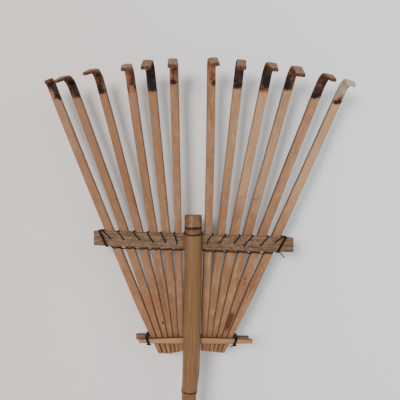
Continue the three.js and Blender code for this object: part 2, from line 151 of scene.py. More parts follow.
# The same tines as in the CAD, each with its marks. scorch: how far below the crest the burn ends,
# how dark it is, how soft its edge is. spots: (down from the crest, place across in half widths,
# length, darkness). stains: (height, place across, half length, half width, depth). joints:
# (height, depth) of the faint line left by a bamboo joint. bleach: how pale the tip has gone.
TINES = [
    dict(foot=-46, slat=-111.1, chest=-185.2, width=12.6, crest=1418, hook=1, drop=5, swing=0,
         radius=8, hole=(-1, 0.9), scorch=(18, 0.2, 12),
         spots=[(6, 0.15, 5, 0.85), (15, 0.55, 6, 0.9), (24, 0.75, 6, 0.95)],
         joints=[(1251, 0.35), (1120, 0.2)]),
    dict(foot=-39.4, slat=-91.8, chest=-157.3, width=12.3, crest=1420.5, hook=19, drop=30, swing=12,
         tip=(-0.95, -0.1), hole=(-3.4, -0.3), dip=1.3, scorch=(29, 0.42, 6),
         spots=[(8, 0.4, 5, 0.85), (25, 0.3, 5, 0.7)],
         joints=[(1250, 0.45), (1104, 0.2)]),
    dict(foot=-33.4, slat=-72.2, chest=-120.1, width=12.1, waist=0.94, crest=1430, hook=19, drop=30, swing=12,
         tip=(-0.95, -0.2), hole=(-0.9, 0.2), dip=1.9, scorch=(33, 0.36, 5),
         spots=[(6, 0.2, 3, 0.55), (28, -0.3, 5, 0.85)],
         stains=[(1078.5, 0.2, 1.9, 0.3, 2.2), (1247, 0.7, 7, 0.4, 0.5)], joints=[(1250, 0.4), (1108, 0.2)]),
    dict(foot=-27.5, slat=-54, chest=-82, width=12.9, waist=0.95, crest=1437, hook=14, drop=37, swing=2,
         hole=(-1.7, -1.9), dip=1.2, scorch=(36, 0.17, 5),
         spots=[(25, 0, 2.4, 0.65), (29, 1.25, 12, 0.55), (31, -1.3, 8, 0.5), (12, 0.9, 6, 0.4)],
         stains=[(1118, -0.2, 24, 0.6, 0.28)], joints=[(1299, 0.35), (1256, 0.3)]),
    dict(foot=-21.7, slat=-36.9, chest=-54.8, width=13.1, waist=0.88, crest=1442.5, hook=19, drop=42, swing=4,
         hole=(-1.3, -2.8), dip=0.7, scorch=(41, 0.55, 7),
         spots=[(22, -0.1, 12, 1.1), (33, 0, 9, 1.1), (10, 0.7, 6, 0.5)],
         joints=[(1304, 0.35), (1254, 0.25)]),
    dict(foot=-16.4, slat=-20.8, chest=-25.7, width=12.5, waist=0.74, crest=1444.5, hook=18, drop=42, swing=1,
         hole=(-1.6, -3.6), scorch=(32, 0.2, 6),
         spots=[(29, -0.2, 4, 0.75), (12, -0.1, 4, 0.5)],
         joints=[(1306, 0.3), (1260, 0.25)]),
    dict(foot=13.7, slat=20.4, chest=24.7, width=12.5, waist=0.9, crest=1445.5, hook=17, drop=42, swing=6,
         hole=(-0.8, -1.2), scorch=(26, 0.22, 16),
         spots=[(31, 0.75, 5, 0.6), (27, 0.5, 4, 0.4)],
         joints=[(1283, 0.25), (1255, 0.4)]),
    dict(foot=19.2, slat=37.6, chest=58.4, width=13, waist=0.84, crest=1443, hook=19, drop=43, swing=-1,
         hole=(-0.9, -0.6), scorch=(37, 0.56, 6),
         spots=[(33, 0, 4, 1.0), (26, -1.0, 6, 0.7), (14, 0.4, 4, 0.6)],
         joints=[(1291, 0.3), (1258, 0.4)]),
    dict(foot=24.5, slat=55.2, chest=92.7, width=13.3, crest=1439, hook=16, drop=42, swing=6,
         tip=(-0.3, 0.95), hole=(2.1, 0), scorch=(38, 0.45, 10),
         spots=[(26, 0.4, 8, 1.1), (14, -0.8, 14, 0.7), (13, 0.2, 5, 0.6)],
         joints=[(1254, 0.6), (1210, 0.2)]),
    dict(foot=29.8, slat=72.9, chest=124.3, width=13, crest=1434, hook=20, drop=43, swing=8,
         hole=(-0.8, -3.5), scorch=(32, 0.4, 4),
         spots=[(18, 0.2, 4, 0.85), (27, -0.2, 4, 0.95), (12, -0.6, 3, 0.6)],
         stains=[(1252, 0.35, 1.6, 0.25, 0.6)], joints=[(1251, 0.65), (1218, 0.2)]),
    dict(foot=35.1, slat=93, chest=164.3, width=13.2, crest=1423.5, hook=14, drop=37, swing=10,
         tip=(-0.2, 0.95), hole=(2.5, -3.2), scorch=(33, 0.44, 8),
         spots=[(29, -0.1, 5, 1.0), (21, 0.5, 5, 0.75), (10, 0.7, 5, 0.6)],
         stains=[(1079.5, -0.05, 13, 0.75, 1.3), (1140, -0.1, 2.2, 0.4, 0.7), (1134, 0.1, 2, 0.3, 0.6)],
         joints=[(1248, 0.35), (1137, 0.3)]),
    dict(foot=40.4, slat=112.6, chest=195.7, width=12.8, crest=1415, hook=9.5, drop=37, swing=6,
         hole=(1.3, 2.4), scorch=(27, 0.2, 10), spots=[(30, 0.25, 4.5, 0.68)],
         joints=[(1242, 0.25), (1130, 0.2)], bleach=0.85),
]

# How much darker (or, below zero, paler) each tine's wood is than the rest: below and above the slat. Each
# value is partly the tine's own tone; the rise from the lower to the upper value on the tines left of the
# handle is painted shade that offsets the key light falling more strongly on their upper part.
TINTS = [
    (0.18, 0.45), (0.22, 0.72), (0.24, 0.7), (0.15, 0.55), (0.1, 0.5), (-0.05, 0.4),
    (-0.05, 0.12), (0.15, -0.12), (0.08, -0.38), (0.08, -0.28), (0.05, -0.12), (0.05, -0.52),
]
OUTWARD = {-1: [5, 4, 3, 2, 1, 0], 1: [6, 7, 8, 9, 10, 11]}  # each side's tines, from the handle


# ---- Small maths ----

def lerp(a, b, t):
    return a + (b - a) * t


def clamp(value, low=0.0, high=1.0):
    return max(low, min(high, value))


def smooth(low, high, value):
    t = clamp((value - low) / (high - low))
    return t * t * (3 - 2 * t)


def rough(x, y, z=0.0):
    return noise.noise(Vector((x, y, z)))


def angles(sides):
    return [i * 2 * math.pi / sides for i in range(sides)]


def rough_round(angle, scale, z):
    """Noise that closes on itself round the handle."""
    return rough(math.cos(angle) * scale, math.sin(angle) * scale, z)


def squarish(value):
    """A sine or cosine pushed outwards, so that an oval comes out nearly rectangular."""
    return math.copysign(abs(value) ** 0.7, value)


def interpolate(rows, at, column):
    k = 1
    while k < len(rows) - 1 and rows[k][0] < at:
        k += 1
    share = (at - rows[k - 1][0]) / (rows[k][0] - rows[k - 1][0])
    return lerp(rows[k - 1][column], rows[k][column], share)


# ---- Meshes ----

def in_metres(x, y, z):
    return Vector((x * MM, y * MM, z * MM))


def note(fields, **values):
    """Adds one point's value to each field."""
    for name, value in values.items():
        fields.setdefault(name, []).append(value)


def loft(name, rings, fields, sharp=40):
    """Closed skin over rings of points in mm. fields maps an attribute name to one value per point."""
    count = len(rings[0])
    points = [p * MM for ring in rings for p in ring]
    faces = []
    for row in range(len(rings) - 1):
        for i in range(count):
            a = row * count + i
            b = row * count + (i + 1) % count
            faces.append((a, b, b + count, a + count))
    values = {key: list(rows) for key, rows in fields.items()}
    for start, flip in ((0, True), ((len(rings) - 1) * count, False)):
        ring = list(range(start, start + count))
        hub = len(points)
        points.append(sum((points[i] for i in ring), Vector()) / count)
        for rows in values.values():
            zero = Vector() if isinstance(rows[start], Vector) else 0
            rows.append(sum((rows[i] for i in ring), zero) / count)
        for i in range(count):
            a, b = ring[i], ring[(i + 1) % count]
            faces.append((b, a, hub) if flip else (a, b, hub))
    mesh = bpy.data.meshes.new(name)
    mesh.from_pydata([tuple(p) for p in points], [], faces)
    for key, rows in values.items():
        if isinstance(rows[0], Vector):
            layer = mesh.attributes.new(key, "FLOAT_VECTOR", "POINT")
            layer.data.foreach_set("vector", [c for v in rows for c in v])
        else:
            layer = mesh.attributes.new(key, "FLOAT", "POINT")
            layer.data.foreach_set("value", rows)
    mesh.shade_smooth()
    mesh.set_sharp_from_angle(angle=math.radians(sharp))
    piece = bpy.data.objects.new(name, mesh)
    bpy.context.scene.collection.objects.link(piece)
    return piece


def settle(piece, node, material):
    piece.data.materials.append(material)
    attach(piece, "root")
    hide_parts(node)


# ---- Node graphs ----

class Graph:
    """A material's node tree, with short ways to add the nodes that are used here."""

    def __init__(self, name):
        self.material = bpy.data.materials.new(name)
        self.material.use_nodes = True
        self.tree = self.material.node_tree
        self.shader = self.tree.nodes["Principled BSDF"]
        self.grain = None

    def node(self, kind, inputs=None, **settings):
        made = self.tree.nodes.new(kind)
        for key, value in settings.items():
            setattr(made, key, value)
        for key, value in (inputs or {}).items():
            self.feed(made.inputs[key], value)
        return made

    def feed(self, socket, value):
        if isinstance(value, bpy.types.NodeSocket):
            self.tree.links.new(value, socket)
        else:
            socket.default_value = value

    def attribute(self, name):
        return self.node("ShaderNodeAttribute", attribute_name=name).outputs["Fac"]

    def noise(self, vector, scale, detail, roughness, distortion=0.0):
        inputs = {"Vector": vector, "Scale": scale, "Detail": detail, "Roughness": roughness,
                  "Distortion": distortion}
        return self.node("ShaderNodeTexNoise", inputs).outputs["Fac"]

    def fibres(self, across, along, detail, roughness, distortion=0.0):
        """Noise with one scale across the wood's grain and another along it."""
        if self.grain is None:
            self.grain = self.node("ShaderNodeAttribute", attribute_name="grain").outputs["Vector"]
        scales = {0: self.grain, 1: (across, along, across)}
        place = self.node("ShaderNodeVectorMath", scales, operation="MULTIPLY").outputs[0]
        return self.noise(place, 1.0, detail, roughness, distortion)

    def math(self, operation, a, b):
        return self.node("ShaderNodeMath", {0: a, 1: b}, operation=operation).outputs[0]

    def spread(self, value, low, high, to_low=0.0, to_high=1.0):
        inputs = {"Value": value, "From Min": low, "From Max": high, "To Min": to_low, "To Max": to_high}
        return self.node("ShaderNodeMapRange", inputs).outputs[0]

    def ramp(self, value, stops):
        made = self.node("ShaderNodeValToRGB", {"Fac": value})
        band = made.color_ramp
        while len(band.elements) < len(stops):
            band.elements.new(0.5)
        for element, (place, colour) in zip(band.elements, stops):
            element.position = place
            element.color = srgb(colour)
        return made.outputs["Color"]

    def mix(self, factor, a, b):
        made = self.node("ShaderNodeMix", data_type="RGBA")
        self.feed(made.inputs["Factor"], factor)
        for socket, value in ((made.inputs[6], a), (made.inputs[7], b)):
            self.feed(socket, srgb(value) if isinstance(value, tuple) and len(value) == 3 else value)
        return made.outputs[2]

    def layer(self, base, value, low, high, strength, colour):
        """Lays a colour over the base, more of it as the value goes from low to high."""
        return self.mix(self.spread(value, low, high, 0.0, strength), base, colour)

    def bump(self, height, distance, strength):
        inputs = {"Height": height, "Distance": distance, "Strength": strength}
        return self.node("ShaderNodeBump", inputs).outputs["Normal"]

    def finish(self, colour, roughness, normal, **constants):
        self.feed(self.shader.inputs["Base Color"], colour)
        self.feed(self.shader.inputs["Roughness"], roughness)
        self.feed(self.shader.inputs["Normal"], normal)
        for key, value in constants.items():
            self.shader.inputs[key.replace("_", " ")].default_value = value
        return self.material


def srgb(colour):
    """A colour given as 0-255 display values, as linear RGBA."""
    linear = [c / 255 / 12.92 if c <= 10 else ((c / 255 + 0.055) / 1.055) ** 2.4 for c in colour]
    return (*linear, 1.0)


# ---- Materials ----

def tine_material():
    """Split bamboo: fine fibres along the strip, painted shade on the side faces, grey-tan skin, scorched
    tips.
    """
    g = Graph("split_bamboo")
    char = g.attribute("char")
    fine = g.fibres(1900, 26, 4, 0.65)
    broad = g.fibres(330, 8, 3, 0.5)
    patch = g.fibres(70, 16, 3, 0.55)
    wood = g.ramp(fine, [(0.25, (118, 79, 50)), (0.5, (148, 104, 69)), (0.75, (176, 132, 93))])
    wood = g.layer(wood, broad, 0.35, 0.7, 0.55, (122, 81, 52))
    wood = g.layer(wood, patch, 0.45, 0.7, 0.6, (110, 69, 45))
    cloud = g.fibres(160, 75, 4, 0.6)
    wood = g.layer(wood, cloud, 0.5, 0.7, 0.5, (128, 79, 42))
    wood = g.layer(wood, cloud, 0.48, 0.32, 0.4, (172, 138, 104))
    # Darker by each tine's own tone, and by painted shade on the upper parts of the tines left of the handle.
    wood = g.mix(g.attribute("shade"), wood, (116, 68, 6))
    wood = g.mix(g.attribute("light"), wood, (196, 158, 118))
    # Painted shade on the side faces, where the strips face their neighbours and the handle.
    painted_side_shade = g.math("MULTIPLY", g.attribute("side"), g.spread(broad, 0.3, 0.6, 0.75, 1.0))
    wood = g.mix(painted_side_shade, wood, (48, 26, 15))
    wood = g.mix(g.attribute("tone"), wood, (72, 28, 12))
    hide = g.ramp(fine, [(0.2, (74, 58, 40)), (0.5, (116, 96, 68)), (0.78, (158, 138, 104))])
    blotch = g.fibres(260, 120, 5, 0.7)
    hide = g.layer(hide, blotch, 0.48, 0.62, 0.85, (62, 42, 28))
    colour = g.mix(g.attribute("skin"), wood, hide)
    mottle = g.fibres(460, 190, 6, 0.72)
    uneven = g.math("MULTIPLY", g.math("SUBTRACT", mottle, 0.47), g.spread(char, 0.02, 0.3, 0.0, 1.3))
    burnt = g.math("ADD", char, uneven)
    colour = g.mix(g.spread(burnt, 0.04, 0.28), colour, (122, 70, 36))
    colour = g.mix(g.spread(burnt, 0.28, 0.52), colour, (58, 28, 15))
    colour = g.mix(g.spread(burnt, 0.52, 0.76), colour, (14, 10, 8))
    colour = g.mix(g.attribute("pale"), colour, (176, 164, 146))
    height = g.math("ADD", fine, g.math("MULTIPLY", mottle, g.spread(char, 0.1, 0.7, 0.0, 1.4)))
    roughness = g.spread(burnt, 0.0, 0.7, 0.5, 0.85)
    return g.finish(colour, roughness, g.bump(height, 0.00025, 0.8), Specular_IOR_Level=0.36)


def pole_material():
    """Aged culm: tan skin with fine streaks, dark at the rings, stained and worn."""
    g = Graph("bamboo_culm")
    ring = g.attribute("ring")
    fine = g.fibres(1300, 12, 4, 0.6)
    broad = g.fibres(190, 9, 3, 0.55)
    patch = g.fibres(70, 26, 5, 0.65)
    colour = g.ramp(fine, [(0.25, (90, 60, 31)), (0.5, (119, 85, 48)), (0.78, (150, 116, 74))])
    colour = g.layer(colour, broad, 0.4, 0.68, 0.65, (104, 66, 34))
    colour = g.layer(colour, patch, 0.5, 0.75, 0.5, (92, 58, 32))
    colour = g.layer(colour, g.attribute("age"), 0.0, 1.0, 0.85, (84, 38, 18))
    speck = g.fibres(900, 420, 2, 0.5)
    colour = g.layer(colour, speck, 0.66, 0.72, 0.6, (48, 28, 18))
    fray = g.math("MULTIPLY", g.math("SUBTRACT", patch, 0.5), g.spread(ring, 0.0, 0.25, 0.0, 0.8))
    ragged = g.math("ADD", ring, fray)
    colour = g.mix(g.spread(ragged, 0.15, 0.45), colour, (22, 8, 3))
    pith = g.ramp(fine, [(0.3, (120, 84, 52)), (0.7, (166, 128, 88))])
    colour = g.mix(g.attribute("inside"), colour, pith)
    height = g.math("ADD", g.math("MULTIPLY", fine, 0.6), broad)
    roughness = g.math("MAXIMUM", g.spread(patch, 0.3, 0.7, 0.4, 0.58), g.math("MULTIPLY", ring, 0.95))
    return g.finish(colour, roughness, g.bump(height, 0.0003, 0.6), Specular_IOR_Level=0.4)


def board_material():
    """Weathered board: grey-brown, open grain lines, dark iron stains round the stitches."""
    g = Graph("weathered_board")
    fine = g.fibres(900, 26, 6, 0.7, 0.4)
    line = g.fibres(420, 12, 4, 0.6, 0.8)
    patch = g.fibres(60, 18, 4, 0.6)
    stops = [(0.25, (40, 25, 16)), (0.42, (90, 62, 40)), (0.58, (118, 87, 61)), (0.76, (160, 128, 98))]
    colour = g.ramp(fine, stops)
    colour = g.layer(colour, line, 0.5, 0.66, 0.6, (66, 42, 28))
    colour = g.layer(colour, patch, 0.5, 0.7, 0.5, (118, 96, 76))
    streak = g.fibres(300, 70, 4, 0.7, 0.4)
    colour = g.layer(colour, streak, 0.5, 0.64, 0.5, (70, 48, 34))
    colour = g.layer(colour, streak, 0.46, 0.36, 0.35, (160, 130, 102))
    pit = g.fibres(620, 300, 3, 0.6)
    colour = g.layer(colour, pit, 0.54, 0.64, 0.5, (58, 40, 30))
    colour = g.layer(colour, pit, 0.44, 0.34, 0.4, (158, 130, 104))
    scratch = g.fibres(1500, 60, 2, 0.5, 1.2)
    colour = g.layer(colour, scratch, 0.64, 0.7, 0.7, (36, 22, 16))
    colour = g.layer(colour, g.attribute("stain"), 0.1, 0.9, 0.8, (24, 16, 12))
    colour = g.mix(g.math("MULTIPLY", g.attribute("cut"), 0.6), colour, (150, 108, 70))
    height = g.math("ADD", fine, g.math("MULTIPLY", line, 0.8))
    return g.finish(colour, 0.82, g.bump(height, 0.0006, 0.9))


def stick_material(name, dark, middle, light, blot):
    g = Graph(name)
    fine = g.fibres(1100, 16, 5, 0.62, 0.2)
    broad = g.fibres(240, 10, 3, 0.55)
    patch = g.fibres(110, 34, 5, 0.65)
    colour = g.ramp(fine, [(0.25, dark), (0.5, middle), (0.76, light)])
    colour = g.mix(g.spread(broad, 0.42, 0.7, 0.0, 0.55), colour, dark)
    colour = g.mix(g.spread(patch, 0.56, 0.74, 0.0, 0.5), colour, blot)
    # Painted shade: darkens the stick's upper face, and its lower face less, for the shadow in the gaps along
    # the tines above and below it.
    colour = g.mix(g.attribute("dirt"), colour, (44, 26, 16))
    height = g.math("ADD", fine, g.math("MULTIPLY", broad, 0.8))
    return g.finish(colour, 0.6, g.bump(height, 0.00035, 0.7))


def wire_material():
    """Annealed iron wire, dark with rusty patches."""
    g = Graph("iron_wire")
    place = g.node("ShaderNodeTexCoord").outputs["Object"]
    patch = g.noise(place, 260, 4, 0.6)
    fine = g.noise(place, 1900, 3, 0.6)
    colour = g.ramp(patch, [(0.35, (16, 13, 12)), (0.6, (26, 20, 17)), (0.8, (62, 38, 26))])
    roughness = g.spread(fine, 0.3, 0.7, 0.5, 0.75)
    return g.finish(colour, roughness, g.bump(fine, 0.0001, 0.5), Metallic=0.0, Specular_IOR_Level=0.15)


# ---- Tine shapes ----

def centre_x(tine, z):
    a, b, c = FOOT_Z, SLAT_Z, CHEST_Z
    return (tine["foot"] * (z - b) * (z - c) / ((a - b) * (a - c))
            + tine["slat"] * (z - a) * (z - c) / ((b - a) * (b - c))
            + tine["chest"] * (z - a) * (z - b) / ((c - a) * (c - b)))


def lean_at(tine, z):
    return math.atan(centre_x(tine, z + 0.5) - centre_x(tine, z - 0.5))


def edges_at(index, z):
    """Left and right edges at a height; crowded tines are trimmed to lie side by side."""
    tine = TINES[index]
    x = centre_x(tine, z)
    trim = lerp(FOOT_TRIM, 1.0, (min(z, FOOT_TRIM_TOP) - FOOT_Z) / (FOOT_TRIM_TOP - FOOT_Z))
    waist = lerp(tine.get("waist", 1.0), 1.0, clamp((z - SLAT_Z) / (CHEST_Z - SLAT_Z)))
    half = tine["width"] * waist * trim / 2 / math.cos(lean_at(tine, z))
    left, right = x - half, x + half
    if index > 0 and TINES[index - 1]["foot"] * tine["foot"] > 0:
        left = max(left, (centre_x(TINES[index - 1], z) + x + CROWD_GAP) / 2)
    if index + 1 < len(TINES) and TINES[index + 1]["foot"] * tine["foot"] > 0:
        right = min(right, (centre_x(TINES[index + 1], z) + x - CROWD_GAP) / 2)
    if x < 0:
        right = min(right, -POLE_CLEARANCE)
    else:
        left = max(left, POLE_CLEARANCE)
    return left, right


def strip_outline(left, right, thick, inner):
    """Section of a split strip as (across, back, skin, side): flat in front, crowned skin behind.
    side is painted shade, on the side faces and at one front point by the edge towards the handle.
    Its edge towards the handle, on the side given by inner, is worn down wider."""
    corner = OUTER_CORNER
    half = thick / 2
    shoulder = half - STRIP_CROWN
    worn_left, worn_right = (INNER_CORNER if inner * edge > 0 else OUTER_CORNER for edge in (-1, 1))
    painted_shade_point = 0 if inner < 0 else STRIP_STEPS
    outline = []
    for i in range(STRIP_STEPS + 1):
        across = lerp(left + worn_left, right - worn_right, i / STRIP_STEPS)
        outline.append((across, -half, 0.0, abs(inner) if i == painted_shade_point else 0.0))
    right_side = [
        (right - EDGE_ROUND, EDGE_ROUND - half, 0.0, 0.7), (right, corner - half, 0.0, 1.0),
        (right, 0.0, 0.0, 1.0), (right, shoulder - corner, 0.0, 1.0),
        (right - EDGE_ROUND, shoulder - EDGE_ROUND, 1.0, 0.3),
    ]
    outline += right_side
    for i in range(STRIP_STEPS + 1):
        t = i / STRIP_STEPS
        skin_back = half - STRIP_CROWN * (2 * t - 1) ** 2
        outline.append((lerp(right - corner, left + corner, t), skin_back, 1.0, 0.0))
    for w, n, skin, side in reversed(right_side):
        outline.append((left + right - w, n, skin, side))
    return outline


def scorch_at(tine, down, across):
    """How burnt the strip is at a distance below the crest (mm along the strip)."""
    reach, dark, soft = tine["scorch"]
    seed = tine["crest"]
    reach += 1.6 * rough(across * 1.3, seed)
    amount = dark * (1 - smooth(reach - soft / 2, reach + soft / 2, down))
    for place, side, length, depth in tine["spots"]:
        gap = math.hypot((down - place) / length, (across - side) * 0.9)
        gap += 0.4 * rough(down * 0.35, across * 2.2, seed)
        amount = max(amount, depth * (1 - smooth(0.3, 1.35, gap)))
    return amount


def stain_at(tine, z, across):
    """Old marks: red-brown patches and specks, and a faint line where a bamboo joint was."""
    amount = 0.0
    for place, side, length, width, depth in tine.get("stains", []):
        skewed = z - place + 3 * (across - side) * min(1.0, length / 8)
        gap = (abs(skewed / length) ** 3 + abs((across - side) / width) ** 3) ** (1 / 3)
        gap += 0.25 * rough(z * 0.2, across * 4, place)
        amount = max(amount, depth * (1 - smooth(0.75, 1.15, gap)))
    for joint, depth in tine["joints"]:
        off = (z - joint - 0.7 * across + 0.8 * rough(across * 1.7, joint)) / 1.1
        amount = max(amount, depth * math.exp(-off * off) * (0.6 + 0.8 * rough(across * 2.9, joint, 5)))
    return clamp(amount, 0.0, 2.2)


class Strip:
    """Collects a tine's rings with the values that its material reads."""

    def __init__(self, index):
        self.index = index
        self.tine = TINES[index]
        self.rings = []
        self.fields = {}

    def add(self, centre, across, back, left, right, thick, along, down, charred=0.0, pale=0.0, cut=False):
        seed = self.index * 7.3
        wobble_left = 0.22 * rough(along * 0.03, seed) + 0.1 * rough(along * 0.21, seed, 4)
        wobble_right = 0.22 * rough(along * 0.03, seed, 9) + 0.1 * rough(along * 0.21, seed, 13)
        thick = thick * (1 + 0.05 * rough(along * 0.02, seed, 21)) - 0.15
        middle = (left + right) / 2
        half = (right - left) / 2
        inner = -clamp(self.tine["foot"] / 34, -1.0, 1.0)
        ring = []
        for w, n, skin, side in strip_outline(left + wobble_left, right + wobble_right, thick, inner):
            share = (w - middle) / half
            n += 0.06 * rough(along * 0.15, w * 0.5, seed + n)
            ring.append(centre + across * w + back * n)
            burn = max(scorch_at(self.tine, down, share), charred)
            if cut:
                burn, skin, side = charred, 0.0, 0.0
            stain = stain_at(self.tine, centre.z, share) * (1 - skin)
            burn = max(burn, 0.6 * (stain - STAIN_BURN_FROM))
            # tint: each tine's own tone, plus painted shade on the upper left tines (see TINTS).
            tint = lerp(*TINTS[self.index], smooth(*TINT_CHANGE, centre.z))
            tint += 0.1 * rough(along * 0.012, seed, 31)
            # side carries painted shade for the side faces.
            note(self.fields, grain=in_metres(w + seed * 20, along, n), skin=skin, side=side,
                 char=burn * lerp(1.0, 0.22, skin), tone=min(1.0, stain),
                 pale=pale * self.tine.get("bleach", 0.0), shade=max(0.0, tint), light=max(0.0, -tint))
        self.rings.append(ring)

    def build(self, name):
        return loft(name, self.rings, self.fields, sharp=50)


def tine_heights(foot, top):
    heights = [foot, foot + 0.3, foot + 1.0]
    z = foot + 4
    while z < top - 42:
        heights.append(z)
        z += 2.0 if z < FOOT_TRIM_TOP + 55 else 2.8
    while z < top - 9:
        heights.append(z)
        z += 1.1
    return heights


def make_tine(index):
    tine = TINES[index]
    strip = Strip(index)
    radius = tine.get("radius", BEND_RADIUS)
    start = tine["crest"] - radius * math.cos(lean_at(tine, tine["crest"] - radius))
    foot = FOOT_Z + FOOT_RISE * (FOOT_SPREAD - abs(tine["foot"])) - tine.get("dip", 0.0)
    depth = TINE_FRONT + TINE_THICK / 2
    flat_x, flat_y = Vector((1, 0, 0)), Vector((0, 1, 0))
    for z in tine_heights(foot, start - 2):
        x = centre_x(tine, z)
        left, right = edges_at(index, z)
        inset = 0.25 if z == foot else 0.0
        along = (z - foot) / math.cos(lean_at(tine, z))
        down = (tine["crest"] - z) / math.cos(lean_at(tine, z))
        strip.add(Vector((x, depth, z)), flat_x, flat_y, left - x + inset, right - x - inset,
                  TINE_THICK - 2 * inset, along, down, pale=0.7 * (1 - smooth(12, 26, down)))
    lean = lean_at(tine, start)
    along = (start - foot) / math.cos(lean)
    heading = Vector((math.sin(lean), 0, math.cos(lean)))
    across = Vector((math.cos(lean), 0, -math.sin(lean)))
    back = flat_y
    turn = lean - math.copysign(math.radians(tine["swing"]), tine["foot"])
    axis = Vector((math.cos(turn), 0, -math.sin(turn)))
    middle_radius = radius - TINE_THICK / 2
    angle = math.radians(90 + tine["drop"]) / BEND_STEPS
    length = middle_radius * angle / math.cos(lean - turn)
    place = Vector((centre_x(tine, start), depth, start))
    half = tine["width"] / 2
    crest_gap = tine["crest"] - start
    strip.add(place, across, back, -half, half, TINE_THICK, along, crest_gap, pale=0.7)
    half_turn = Matrix.Rotation(angle / 2, 3, axis)
    full_turn = Matrix.Rotation(angle, 3, axis)
    for step in range(BEND_STEPS):
        heading = half_turn @ heading
        place = place + heading * length
        heading = half_turn @ heading
        across = full_turn @ across
        back = full_turn @ back
        along += length
        down = crest_gap * (1 - min(1.0, (step + 1) * angle / (math.pi / 2)))
        strip.add(place, across, back, -half, half, TINE_THICK, along, down, charred=0.2, pale=0.8)
    tip_left, tip_right = tine.get("tip", (-0.95, 0.95))
    for step in range(1, HOOK_STEPS + 1):
        share = step / HOOK_STEPS
        left = lerp(-half, half * tip_left, share ** 1.4)
        right = lerp(half, half * tip_right, share ** 1.4)
        ragged = 0.25 * rough(step * 1.7, index * 3.1)
        slant = back - heading * HOOK_SLANT * share
        strip.add(place + heading * (tine["hook"] - 0.2) * share, across, slant, left + ragged * share,
                  right + ragged * share, TINE_THICK * lerp(1, 0.96, share), along + tine["hook"] * share,
                  0, charred=lerp(0.25, 0.4, share ** 3), pale=lerp(0.85, 1.0, share))
    lip = (half * tip_left + 0.1, half * tip_right - 0.1)
    slant = back - heading * HOOK_SLANT
    edge = place + heading * tine["hook"]
    for inset, share in ((0.0, 0.97), (0.3, 0.88)):
        strip.add(edge + heading * inset, across, slant, lip[0] + inset, lip[1] - inset, TINE_THICK * share,
                  along + tine["hook"], 0, charred=0.4, pale=1.0, cut=True)
    return strip.build(f"tine_strip_{index + 1:02d}")


# ---- Slats and sticks ----

def slat_middle(x):
    return SLAT_Z + SLAT_TILT * x


def slat_top(x):
    return slat_middle(x) + SLAT_HEIGHT / 2


def hole_place(tine):
    z = slat_middle(tine["slat"]) + tine["hole"][1]
    return centre_x(tine, z) + tine["hole"][0], z


def stain_near_wire(x, z):
    nearest = min(math.hypot(x - hx, z - hz) for hx, hz in (hole_place(t) for t in TINES))
    return 1 - smooth(0.9, 2.2, nearest)


def make_slat(name, left, right, front, thick, height, seed):
    """A split board with worn edges, its ends hacked a little out of square."""
    rings = []
    fields = {}
    steps = int((right - left) / 1.3)
    for step in range(steps + 1):
        x = lerp(left, right, step / steps)
        z = slat_middle(x)
        end_gap = min(x - left, right - x)
        worn = 0.7 + 0.5 * rough(x * 0.05, seed) + 1.2 * (1 - smooth(0, 2.2, end_gap))
        high = height / 2 - 0.15 + 0.3 * rough(x * 0.035, seed, 2) + 0.15 * rough(x * 0.4, seed, 3)
        low = -height / 2 + 0.15 + 0.3 * rough(x * 0.035, seed, 5) + 0.15 * rough(x * 0.4, seed, 6)
        near, far = front + 0.1, front + thick - 0.1
        outline = [(lerp(near + worn, far - worn, i / 4), low) for i in range(1, 4)]
        corner = [(math.sin(k * math.pi / 6), math.cos(k * math.pi / 6)) for k in range(4)]
        outline += [(far - worn + worn * s, low + worn - worn * c) for s, c in corner]
        outline += [(far, lerp(low + worn, high - worn, i / 8)) for i in range(1, 8)]
        outline += [(far - worn + worn * c, high - worn + worn * s) for s, c in corner]
        outline += [(lerp(far - worn, near + worn, i / 4), high) for i in range(1, 4)]
        outline += [(near + worn - worn * s, high - worn + worn * c) for s, c in corner]
        outline += [(near, lerp(high - worn, low + worn, i / 8)) for i in range(1, 8)]
        outline += [(near + worn - worn * c, low + worn - worn * s) for s, c in corner]
        ring = []
        for y, h in outline:
            y += 0.12 * rough(x * 0.09, h * 0.9, seed + y)
            skew = 0.0
            if end_gap < 1.5:
                skew = 0.5 * rough(h * 0.3, y * 0.4, seed + 11) - 0.4
                skew = -skew if x < 0 else skew
            ring.append(Vector((x + skew, y, z + h)))
            note(fields, grain=in_metres(h + seed * 50, x, y), stain=stain_near_wire(x, z + h),
                 cut=1.0 if end_gap < 0.5 else 0.0)
        rings.append(ring)
    return loft(name, rings, fields, sharp=35)


def stick_half_height(stick, x):
    end = stick["ends"][0] if x < 0 else stick["ends"][1]
    reach = x / stick["left"] if x < 0 else x / stick["right"]
    return lerp(stick["middle"], end, reach * reach)


def stick_middle(stick, x):
    return STICK_Z + stick["tilt"] * x - stick["sag"] * (x / stick["right"]) ** 2


